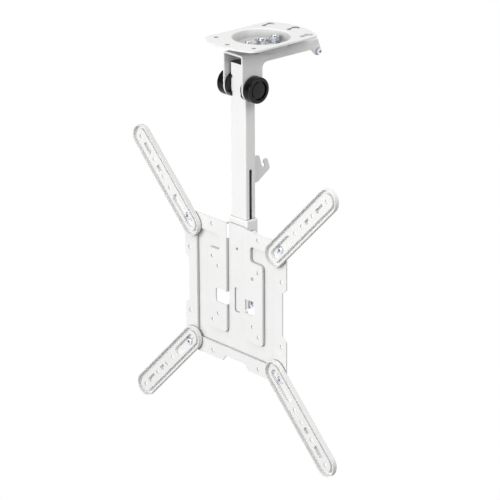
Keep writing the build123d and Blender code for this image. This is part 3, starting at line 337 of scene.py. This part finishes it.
def edge_wear_group():
    """Mask that is 1 on a convex or concave edge and breaks up along it."""
    group, entry, leave = new_group("edge_wear", {"Width": 0.001, "Break Size": 0.006}, ("Edge",))
    bevel = shader_node(group, "ShaderNodeBevel", (1, 0), samples=6)
    surface = shader_node(group, "ShaderNodeNewGeometry", (1, 1))
    agree = shader_node(group, "ShaderNodeVectorMath", (2, 0), operation="DOT_PRODUCT")
    place = shader_node(group, "ShaderNodeTexCoord", (1, 2))
    breaks = set_inputs(shader_node(group, "ShaderNodeTexNoise", (2, 2)), Detail=4.0, Roughness=0.6)
    group.links.new(entry.outputs["Width"], bevel.inputs["Radius"])
    group.links.new(bevel.outputs["Normal"], agree.inputs[0])
    group.links.new(surface.outputs["Normal"], agree.inputs[1])
    group.links.new(place.outputs["Object"], breaks.inputs["Vector"])
    group.links.new(frequency(group, entry, "Break Size", (1, 3)), breaks.inputs["Scale"])
    edge = mapped(group, agree.outputs["Value"], FLAT_AGREEMENT, SHARP_AGREEMENT, 0.0, 1.0, (3, 0))
    broken = mapped(group, breaks.outputs["Fac"], source_low=0.35, source_high=0.65,
                    low=0.35, high=1.0, place=(3, 2))
    worn = joined(group, "MULTIPLY", edge, broken, (4, 1), use_clamp=True)
    group.links.new(worn, leave.inputs["Edge"])
    return group


def crease_group():
    """Mask for painted shade: it grows from 0 on open faces to 1 in creases, holes and bores, by how closed
    in they are.
    """
    group, entry, leave = new_group("crease", {"Reach": 0.003, "Open": 0.9, "Closed": 0.5}, ("Crease",))
    openness = shader_node(group, "ShaderNodeAmbientOcclusion", (1, 0), samples=12)
    crease = shader_node(group, "ShaderNodeMapRange", (2, 0))
    group.links.new(entry.outputs["Reach"], openness.inputs["Distance"])
    group.links.new(openness.outputs["AO"], crease.inputs["Value"])
    group.links.new(entry.outputs["Open"], crease.inputs["From Min"])
    group.links.new(entry.outputs["Closed"], crease.inputs["From Max"])
    group.links.new(crease.outputs["Result"], leave.inputs["Crease"])
    return group


def worked_marks_group():
    """Crossed fine streaks of rolled and turned metal, with cloudy dulling."""
    group, entry, leave = new_group("worked_marks", {"Size": 0.0004, "Cloud Size": 0.004},
                                    ("Height", "Cloud"))
    place = shader_node(group, "ShaderNodeTexCoord", (0, 2))
    along_x = (0.08, 1.0, 1.0)
    along_z = (1.0, 1.0, 0.08)
    streaks = []
    for row, stretch in enumerate((along_x, along_z)):
        mapping = set_inputs(shader_node(group, "ShaderNodeMapping", (1, 2 * row)), Scale=stretch)
        streak = shader_node(group, "ShaderNodeTexNoise", (2, 2 * row))
        set_inputs(streak, Detail=3.0, Roughness=0.6)
        group.links.new(place.outputs["Object"], mapping.inputs["Vector"])
        group.links.new(mapping.outputs["Vector"], streak.inputs["Vector"])
        group.links.new(frequency(group, entry, "Size", (1, 2 * row + 1)), streak.inputs["Scale"])
        streaks.append(streak.outputs["Fac"])
    cloud = set_inputs(shader_node(group, "ShaderNodeTexNoise", (2, 4)), Detail=3.0, Roughness=0.5)
    group.links.new(place.outputs["Object"], cloud.inputs["Vector"])
    group.links.new(frequency(group, entry, "Cloud Size", (1, 4)), cloud.inputs["Scale"])
    group.links.new(joined(group, "MULTIPLY", *streaks, (3, 1)), leave.inputs["Height"])
    group.links.new(cloud.outputs["Fac"], leave.inputs["Cloud"])
    return group


def use_group(tree, name, build, place, **values):
    """Places the shared group of that name, which is built at its first use."""
    group = bpy.data.node_groups.get(name) or build()
    node = shader_node(tree, "ShaderNodeGroup", place, node_tree=group)
    return set_inputs(node, **values)


def fresh_material(name):
    """Material with only a Principled shader on its output."""
    material = bpy.data.materials.new(name)
    material.use_nodes = True
    tree = material.node_tree
    tree.nodes.clear()
    shader = shader_node(tree, "ShaderNodeBsdfPrincipled", (5, 0))
    output = shader_node(tree, "ShaderNodeOutputMaterial", (7, 0))
    tree.links.new(shader.outputs["BSDF"], output.inputs["Surface"])
    return material, tree, shader


def blended(tree, factor, first, second, place):
    """Mixes two colours; each is a plain colour or another node's output."""
    node = shader_node(tree, "ShaderNodeMix", place, data_type="RGBA")
    tree.links.new(factor, node.inputs["Factor"])
    for socket, colour in ((node.inputs[MIX_FIRST], first), (node.inputs[MIX_SECOND], second)):
        if isinstance(colour, bpy.types.NodeSocket):
            tree.links.new(colour, socket)
        else:
            socket.default_value = (*colour, 1.0)
    return node.outputs[MIX_RESULT]


def scaled_colour(colour, factor):
    return tuple(channel * factor for channel in colour)


def bump(tree, height, distance, shader, strength=1.0):
    """Raises the surface by a pattern, whose full range is distance high."""
    node = set_inputs(shader_node(tree, "ShaderNodeBump", (4, 3)), Distance=distance, Strength=strength)
    tree.links.new(height, node.inputs["Height"])
    tree.links.new(node.outputs["Normal"], shader.inputs["Normal"])


# Finishes

def powder_coat(name, paint, crease_shade, hollow=None, hollow_shade=0.0):
    """White powder coat: orange peel, mottling, thin paint on edges, and painted shade in creases and
    hollows.
    """
    material, tree, shader = fresh_material(name)
    ripple = use_group(tree, "surface_ripple", surface_ripple_group, (0, 0),
                       Size=paint.peel_size, Mottle_Size=0.035)
    wear = use_group(tree, "edge_wear", edge_wear_group, (0, 1), Width=paint.edge_width, Break_Size=0.008)
    # Painted shade: creases, gaps and hole walls are darkened towards the shade colour
    crease = use_group(tree, "crease", crease_group, (0, 2), Reach=paint.crease_reach)
    mottle = from_pattern(tree, ripple.outputs["Mottle"], 0.0, 1.0, (1, 0))
    edge = weakened(tree, wear.outputs["Edge"], strength=0.5, place=(1, 1))
    crease_shading = weakened(tree, crease.outputs["Crease"], crease_shade, (1, 2))
    clouded = scaled_colour(paint.colour, 0.975)
    body = blended(tree, mottle, paint.colour, clouded, (2, 0))
    worn = blended(tree, edge, body, paint.thin_colour, (3, 0))
    colour = blended(tree, crease_shading, worn, paint.painted_shade_colour, (4, 0))
    # Painted shade: a wide mask darkens hollows, gaps and bores, near black where they close in
    if hollow:
        deep = use_group(tree, "crease", crease_group, (0, 4), **hollow)
        hollow_shading = weakened(tree, deep.outputs["Crease"], hollow_shade, (1, 4))
        shade = scaled_colour(paint.painted_shade_colour, 0.3)
        colour = blended(tree, hollow_shading, colour, shade, (4, 1))
    roughness = from_pattern(tree, ripple.outputs["Mottle"], low=0.36, high=0.46, place=(4, 2))
    tree.links.new(colour, shader.inputs["Base Color"])
    tree.links.new(roughness, shader.inputs["Roughness"])
    shader.inputs["Specular IOR Level"].default_value = 0.45
    bump(tree, ripple.outputs["Height"], paint.peel_depth, shader)
    return material


def moulded_plastic(name, mouldings, colour, worn, roughness, shine):
    """Moulded plastic: fine grain, slight colour drift, worn edges, which on the black plastic are also a
    painted highlight, and painted shade in creases.
    """
    material, tree, shader = fresh_material(name)
    ripple = use_group(tree, "surface_ripple", surface_ripple_group, (0, 0),
                       Size=mouldings.grain_size, Mottle_Size=0.012)
    wear = use_group(tree, "edge_wear", edge_wear_group, (0, 1), Width=0.0005, Break_Size=0.004)
    # Painted shade: the crease mask darkens grooves, and the contact line round the bush
    crease = use_group(tree, "crease", crease_group, (0, 2), Reach=0.004, Open=0.9, Closed=0.4)
    mottle = from_pattern(tree, ripple.outputs["Mottle"], 0.0, 1.0, (1, 0))
    # Worn edges: wear on the white plastic; on the black plastic also a painted highlight in place of glints
    # on rounded edges
    edge = weakened(tree, wear.outputs["Edge"], strength=0.7, place=(1, 1))
    drifted = scaled_colour(colour, 1.25)
    shade = scaled_colour(colour, 0.35)
    body = blended(tree, mottle, colour, drifted, (2, 0))
    rubbed_and_highlit = blended(tree, edge, body, worn, (3, 0))
    crease_shading = blended(tree, crease.outputs["Crease"], rubbed_and_highlit, shade, (4, 0))
    rough = from_pattern(tree, ripple.outputs["Mottle"], roughness - 0.05, roughness + 0.08, (4, 2))
    tree.links.new(crease_shading, shader.inputs["Base Color"])
    tree.links.new(rough, shader.inputs["Roughness"])
    shader.inputs["Specular IOR Level"].default_value = shine
    bump(tree, ripple.outputs["Fleck"], mouldings.grain_depth, shader, strength=0.6)
    return material


def worked_metal(name, metals, bright, dull, roughness):
    """Plated or turned metal: fine streaks, cloudy dulling, brighter edges and painted shade in creases."""
    material, tree, shader = fresh_material(name)
    marks = use_group(tree, "worked_marks", worked_marks_group, (0, 0),
                      Size=metals.mark_size, Cloud_Size=0.005)
    wear = use_group(tree, "edge_wear", edge_wear_group, (0, 1), Width=0.0004, Break_Size=0.002)
    # Painted shade: the crease mask darkens the metal in creases and round nuts and washers
    crease = use_group(tree, "crease", crease_group, (0, 2), Reach=0.0018, Open=0.9, Closed=0.4)
    cloud = from_pattern(tree, marks.outputs["Cloud"], 0.0, 1.0, (1, 0))
    edge = weakened(tree, wear.outputs["Edge"], strength=0.6, place=(1, 1))
    polished = scaled_colour(bright, 1.3)
    shade = scaled_colour(dull, 0.1)
    body = blended(tree, cloud, bright, dull, (2, 0))
    bright_edge = blended(tree, edge, body, polished, (3, 0))
    shaded = blended(tree, crease.outputs["Crease"], bright_edge, shade, (4, 0))
    rough = from_pattern(tree, marks.outputs["Cloud"], roughness - 0.07, roughness + 0.1, (4, 2))
    tree.links.new(shaded, shader.inputs["Base Color"])
    tree.links.new(rough, shader.inputs["Roughness"])
    shader.inputs["Metallic"].default_value = 1.0
    bump(tree, marks.outputs["Height"], metals.mark_depth, shader)
    return material


def zinc_material():
    """The zinc plate that all fasteners and their threads share."""
    metals = bpy.context.scene.mount_metals
    zinc = bpy.data.materials.get("zinc_plate")
    return zinc or worked_metal("zinc_plate", metals, metals.zinc, metals.zinc_dull, roughness=0.22)


def finish_nodes(names, material):
    for name in names:
        for material_slot in NODES[name].material_slots:
            material_slot.material = material


class MOUNT_OT_painted_steel(Operator):
    """White powder coat on the plates, tubes, brackets and arms"""
    bl_idname = "mount.painted_steel"
    bl_label = "Powder-coated steel"

    def execute(self, context):
        paint = context.scene.mount_paint
        # Painted shade: how dark creases are painted on all but the arms
        crease_shade_strength = paint.crease_shade
        # Painted shade in hollows: the dish, the gap under the bracket's plate, the tubes' bores, darkened
        # near black, and the screen plate's recesses
        dish = {"Reach": paint.dish_reach, "Open": 0.98, "Closed": 0.6}
        gap = {"Reach": paint.bracket_reach, "Open": 0.97, "Closed": 0.4}
        bore = {"Reach": paint.bore_reach, "Open": 0.6, "Closed": 0.1}
        recess = {"Reach": paint.recess_reach, "Open": 0.95, "Closed": 0.5}
        finish_nodes(DISHED_STEEL, powder_coat("powder_coat_dished", paint, crease_shade_strength, dish, hollow_shade=0.7))
        finish_nodes(BRACKET_STEEL, powder_coat("powder_coat_bracket", paint, crease_shade_strength, gap, hollow_shade=0.05))
        finish_nodes(TUBE_STEEL, powder_coat("powder_coat_tube", paint, crease_shade_strength, bore, hollow_shade=0.97))
        finish_nodes(FLAT_STEEL, powder_coat("powder_coat_flat", paint, crease_shade_strength, recess, hollow_shade=0.2))
        finish_nodes(ARM_STEEL, powder_coat("powder_coat_arm", paint, paint.arm_crease_shade))
        return {"FINISHED"}


class MOUNT_OT_black_mouldings(Operator):
    """Black plastic on the knobs, guide discs and tube plug"""
    bl_idname = "mount.black_mouldings"
    bl_label = "Black mouldings"

    def execute(self, context):
        mouldings = context.scene.mount_mouldings
        # Painted highlight: the black's lighter edge colour is partly wear, partly a painted highlight
        plastic = moulded_plastic("black_plastic", mouldings, mouldings.black, mouldings.black_rubbed_and_highlit,
                                  roughness=0.16, shine=0.3)
        finish_nodes(BLACK_MOULDINGS, plastic)
        return {"FINISHED"}


class MOUNT_OT_white_moulding(Operator):
    """White plastic on the guide bush between the tubes"""
    bl_idname = "mount.white_moulding"
    bl_label = "White moulding"

    def execute(self, context):
        mouldings = context.scene.mount_mouldings
        worn = scaled_colour(mouldings.white, 0.9)
        plastic = moulded_plastic("white_plastic", mouldings, mouldings.white, worn,
                                  roughness=0.38, shine=0.5)
        finish_nodes(WHITE_MOULDINGS, plastic)
        return {"FINISHED"}


class MOUNT_OT_zinc_fasteners(Operator):
    """Zinc plating on the bolts, nuts, washers, rivets and spindle"""
    bl_idname = "mount.zinc_fasteners"
    bl_label = "Zinc-plated fasteners"

    def execute(self, context):
        finish_nodes(ZINC_PLATED, zinc_material())
        return {"FINISHED"}


class MOUNT_OT_brass_inserts(Operator):
    """Turned brass on the inserts in the knobs"""
    bl_idname = "mount.brass_inserts"
    bl_label = "Brass inserts"

    def execute(self, context):
        metals = context.scene.mount_metals
        brass = worked_metal("turned_brass", metals, metals.brass, metals.brass_dull, roughness=0.32)
        finish_nodes(BRASS_TURNED, brass)
        return {"FINISHED"}


# Threads on the free ends of the bolts

def thread_ridge(name, radius, pitch, length, crest):
    """Helical ridge round +Z from Z = 0, as one closed mesh; its inner half lies in the shank."""
    bpy.ops.object.select_all(action="DESELECT")
    bpy.ops.mesh.primitive_plane_add(size=1.0, location=(radius, 0, 0), rotation=(pi / 2, 0, 0))
    ridge = bpy.context.object
    ridge.name = name
    ridge.scale = (2 * crest, THREAD_FOOT * pitch, 1)
    bpy.ops.object.transform_apply(location=True, rotation=True, scale=True)
    bpy.ops.object.mode_set(mode="EDIT")
    bpy.ops.mesh.select_all(action="DESELECT")
    bpy.ops.object.mode_set(mode="OBJECT")
    for vertex in ridge.data.vertices:
        vertex.select = vertex.co.x > radius
    bpy.ops.object.mode_set(mode="EDIT")
    bpy.ops.transform.resize(value=(1, 1, THREAD_TOP), center_override=(radius, 0, 0))
    bpy.ops.object.mode_set(mode="OBJECT")
    turns = length / pitch
    screw = ridge.modifiers.new("helix", "SCREW")
    screw.axis = "Z"
    screw.angle = 2 * pi * turns
    screw.screw_offset = length
    screw.steps = max(THREAD_FEWEST_STEPS, round(THREAD_STEPS_PER_TURN * turns))
    screw.render_steps = screw.steps
    screw.use_smooth_shade = False
    bpy.ops.object.modifier_apply(modifier=screw.name)
    bpy.ops.object.mode_set(mode="EDIT")
    bpy.ops.mesh.select_all(action="SELECT")
    bpy.ops.mesh.remove_doubles(threshold=WELD_DISTANCE)
    bpy.ops.mesh.fill_holes(sides=4)
    bpy.ops.mesh.normals_make_consistent(inside=False)
    bpy.ops.object.mode_set(mode="OBJECT")
    bpy.ops.object.shade_smooth_by_angle(angle=THREAD_SMOOTH_ANGLE)
    return ridge


def place_copies(ridge, starts, direction):
    """One copy at each start, its axis along direction, joined into one piece at the origin."""
    turn = Vector((0, 0, 1)).rotation_difference(direction).to_matrix().to_4x4()
    copies = []
    for start in starts:
        copy = ridge.copy()
        copy.data = ridge.data.copy()
        bpy.context.scene.collection.objects.link(copy)
        copy.matrix_world = Matrix.Translation(start) @ turn
        copies.append(copy)
    name = ridge.name
    bpy.data.objects.remove(ridge)
    bpy.ops.object.select_all(action="DESELECT")
    for copy in copies:
        copy.select_set(True)
    bpy.context.view_layer.objects.active = copies[0]
    bpy.ops.object.transform_apply(location=True, rotation=True, scale=True)
    if len(copies) > 1:
        bpy.ops.object.join()
    piece = bpy.context.object
    piece.name = name
    return piece


def threaded_ends(name, nut_faces, direction, radius, pitch, length, body):
    """Zinc-plated threads on like bolt ends, from the nuts' faces outwards, riding on their body."""
    if length <= 0:
        raise RuntimeError(name + " has no free bolt end to thread")
    crest = bpy.context.scene.mount_threads.crest
    plain = THREAD_PLAIN_END * pitch
    starts = [face + plain * direction for face in nut_faces]
    piece = place_copies(thread_ridge(name, radius, pitch, length - 2 * plain, crest), starts, direction)
    piece.data.materials.clear()
    piece.data.materials.append(zinc_material())
    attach(piece, body)


class MOUNT_OT_swivel_threads(Operator):
    """Threads on the three swivel bolts' ends in the dish"""
    bl_idname = "mount.swivel_threads"
    bl_label = "Swivel bolt threads"

    def execute(self, context):
        nut_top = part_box("swivel_nuts")[1].z
        bolt_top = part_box("swivel_bolts")[1].z
        faces = [Vector((0, y, nut_top)) for y in (-SWIVEL_BOLT_SPACING, 0, SWIVEL_BOLT_SPACING)]
        pitch = context.scene.mount_threads.swivel_pitch
        threaded_ends("swivel_threads", faces, Vector((0, 0, 1)), SWIVEL_BOLT_RADIUS, pitch,
                      bolt_top - nut_top, "bracket")
        return {"FINISHED"}


class MOUNT_OT_latch_thread(Operator):
    """Thread on the latch screw's end, outside its nut"""
    bl_idname = "mount.latch_thread"
    bl_label = "Latch screw thread"

    def execute(self, context):
        nut_low, nut_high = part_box("latch_nut")
        screw_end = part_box("latch_screw")[0].x
        centre = (nut_low + nut_high) / 2
        face = Vector((nut_low.x, centre.y, centre.z))
        pitch = context.scene.mount_threads.latch_pitch
        threaded_ends("latch_thread", [face], Vector((-1, 0, 0)), LATCH_SCREW_RADIUS, pitch,
                      nut_low.x - screw_end, "bracket")
        return {"FINISHED"}


class MOUNT_OT_height_threads(Operator):
    """Threads on the two height bolts' ends, outside their nuts"""
    bl_idname = "mount.height_threads"
    bl_label = "Height bolt threads"

    def execute(self, context):
        nut_low, nut_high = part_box("height_nuts")
        bolt_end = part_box("height_bolts")[0].x
        middle = (nut_low.y + nut_high.y) / 2
        # A nut has its corners along Y and its flats along Z
        half_nut = (nut_high.y - nut_low.y) / 2 * cos(radians(30))
        faces = [Vector((nut_low.x, middle, z)) for z in (nut_high.z - half_nut, nut_low.z + half_nut)]
        pitch = context.scene.mount_threads.height_pitch
        threaded_ends("height_threads", faces, Vector((-1, 0, 0)), HEIGHT_BOLT_RADIUS, pitch,
                      nut_low.x - bolt_end, "lower")
        return {"FINISHED"}


class MOUNT_OT_arm_threads(Operator):
    """Threads on the four arm screws' ends, behind their nuts"""
    bl_idname = "mount.arm_threads"
    bl_label = "Arm screw threads"

    def execute(self, context):
        nut_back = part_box("arm_nuts")[1].y
        screw_low, screw_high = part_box("arm_screws")
        middle = (screw_low + screw_high) / 2
        offsets = (-ARM_SCREW_HALF_SPACING, ARM_SCREW_HALF_SPACING)
        faces = [Vector((middle.x + x, nut_back, middle.z + z)) for x in offsets for z in offsets]
        pitch = context.scene.mount_threads.arm_pitch
        threaded_ends("arm_threads", faces, Vector((0, 1, 0)), ARM_SCREW_RADIUS, pitch,
                      screw_high.y - nut_back, "lower")
        return {"FINISHED"}


# Camera, light and floor

def look_matrix(place, back, roll):
    """Camera or lamp matrix that looks along minus back, rolled about it."""
    right = Vector((0, 0, 1)).cross(back).normalized()
    up = back.cross(right)
    turned_right = cos(roll) * right + sin(roll) * up
    turned_up = -sin(roll) * right + cos(roll) * up
    matrix = Matrix((turned_right, turned_up, back)).transposed().to_4x4()
    matrix.translation = place
    return matrix


def direction(azimuth, elevation):
    """Unit vector from the mount towards a camera or lamp."""
    return Vector((sin(azimuth) * cos(elevation), -cos(azimuth) * cos(elevation), sin(elevation)))


def soft_light(name, energy, aim, azimuth, elevation, distance, size):
    """Round lamp at angles given in degrees, facing the aim."""
    lamp = bpy.data.lights.new(name, "AREA")
    lamp.shape = "DISK"
    lamp.size = size
    lamp.energy = energy
    holder = bpy.data.objects.new(name, lamp)
    bpy.context.scene.collection.objects.link(holder)
    back = direction(radians(azimuth), radians(elevation))
    holder.matrix_world = look_matrix(aim + back * distance, back, roll=0)


def white_sweep(studio):
    """Floor that looks plain white, both straight on and mirrored in the metal and the gloss."""
    material, tree, shader = fresh_material("studio_floor")
    shader.inputs["Base Color"].default_value = (*studio.floor_colour, 1.0)
    shader.inputs["Roughness"].default_value = 0.9
    glow = shader_node(tree, "ShaderNodeEmission", (5, 2))
    sight = shader_node(tree, "ShaderNodeLightPath", (4, 1))
    seen = joined(tree, "MAXIMUM", sight.outputs["Is Camera Ray"], sight.outputs["Is Glossy Ray"], (5, 1))
    choice = shader_node(tree, "ShaderNodeMixShader", (6, 0))
    tree.links.new(seen, choice.inputs["Fac"])
    tree.links.new(shader.outputs["BSDF"], choice.inputs[1])
    tree.links.new(glow.outputs["Emission"], choice.inputs[2])
    tree.links.new(choice.outputs["Shader"], tree.nodes["Material Output"].inputs["Surface"])
    material.cycles.emission_sampling = "NONE"
    return material


class MOUNT_OT_studio(Operator):
    """Camera at the photograph's angle, soft lights and a plain pale floor"""
    bl_idname = "mount.studio"
    bl_label = "Studio"

    def execute(self, context):
        studio = context.scene.mount_studio
        aim = Vector(studio.aim)
        self.camera(context.scene, studio, aim)
        soft_light("key", studio.key_energy, aim, azimuth=2, elevation=19, distance=3.2, size=2.3)
        soft_light("fill", studio.fill_energy, aim, azimuth=95, elevation=42, distance=2.2, size=1.4)
        soft_light("overhead", studio.top_energy, aim, azimuth=0, elevation=85, distance=2.0, size=2.4)
        self.floor(studio)
        self.surround(context.scene, studio)
        context.scene.view_settings.view_transform = "Standard"
        return {"FINISHED"}

    def camera(self, scene, studio, aim):
        lens = bpy.data.cameras.new("camera")
        lens.lens = studio.lens
        lens.sensor_width = 36.0
        lens.clip_end = 100.0
        camera = bpy.data.objects.new("camera", lens)
        scene.collection.objects.link(camera)
        back = direction(studio.azimuth, studio.elevation)
        camera.matrix_world = look_matrix(aim + back * studio.distance, back, studio.roll)
        scene.camera = camera

    def floor(self, studio):
        bpy.ops.object.select_all(action="DESELECT")
        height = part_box("arm_lower_left")[0].z - studio.floor_drop
        bpy.ops.mesh.primitive_plane_add(size=studio.floor_size, location=(0, 0, height))
        floor = bpy.context.object
        floor.name = "studio_floor"
        floor.data.materials.append(white_sweep(studio))

    def surround(self, scene, studio):
        """Plain white to the eye, and as a light brighter behind the mount, where no lamp reaches."""
        world = bpy.data.worlds.new("surround")
        world.use_nodes = True
        tree = world.node_tree
        background = tree.nodes["Background"]
        background.inputs["Color"].default_value = (1, 1, 1, 1)
        bearing = shader_node(tree, "ShaderNodeTexCoord", (-4, 0))
        parts = shader_node(tree, "ShaderNodeSeparateXYZ", (-3, 0))
        tree.links.new(bearing.outputs["Generated"], parts.inputs["Vector"])
        strength = mapped(tree, parts.outputs["Y"], source_low=0.0, source_high=0.9,
                          low=studio.front_strength, high=studio.back_strength, place=(-2, 0))
        sight = shader_node(tree, "ShaderNodeLightPath", (-2, 1))
        shown = joined(tree, "MAXIMUM", strength, sight.outputs["Is Camera Ray"], (-1, 0))
        tree.links.new(shown, background.inputs["Strength"])
        scene.world = world


class MOUNT_PT_sidebar(Panel):
    """Lists the mount's finishes, threads and studio"""
    bl_idname = "MOUNT_PT_sidebar"
    bl_label = "Screen mount"
    bl_space_type = "VIEW_3D"
    bl_region_type = "UI"
    bl_category = "Screen mount"

    def draw(self, context):
        layout = self.layout
        for settings in SETTINGS:
            group = getattr(context.scene, settings)
            box = layout.box()
            for name in group.bl_rna.properties.keys():
                if name not in ("name", "rna_type"):
                    box.prop(group, name)
        for operator in OPERATORS:
            layout.operator(operator.bl_idname)


SETTINGS = {
    "mount_paint": MountPaint,
    "mount_mouldings": MountMouldings,
    "mount_metals": MountMetals,
    "mount_threads": MountThreads,
    "mount_studio": MountStudio,
}
OPERATORS = (
    MOUNT_OT_studio, MOUNT_OT_painted_steel, MOUNT_OT_black_mouldings, MOUNT_OT_white_moulding,
    MOUNT_OT_zinc_fasteners, MOUNT_OT_brass_inserts, MOUNT_OT_swivel_threads, MOUNT_OT_latch_thread,
    MOUNT_OT_height_threads, MOUNT_OT_arm_threads,
)
CLASSES = (*SETTINGS.values(), *OPERATORS, MOUNT_PT_sidebar)


def register():
    for cls in CLASSES:
        bpy.utils.register_class(cls)
    for name, cls in SETTINGS.items():
        setattr(bpy.types.Scene, name, PointerProperty(type=cls))


def unregister():
    for name in SETTINGS:
        delattr(bpy.types.Scene, name)
    for cls in reversed(CLASSES):
        bpy.utils.unregister_class(cls)


def main():
    register()
    bpy.ops.mount.studio()
    bpy.ops.mount.painted_steel()
    bpy.ops.mount.black_mouldings()
    bpy.ops.mount.white_moulding()
    bpy.ops.mount.zinc_fasteners()
    bpy.ops.mount.brass_inserts()
    bpy.ops.mount.swivel_threads()
    bpy.ops.mount.latch_thread()
    bpy.ops.mount.height_threads()
    bpy.ops.mount.arm_threads()


if __name__ == "__main__":
    main()
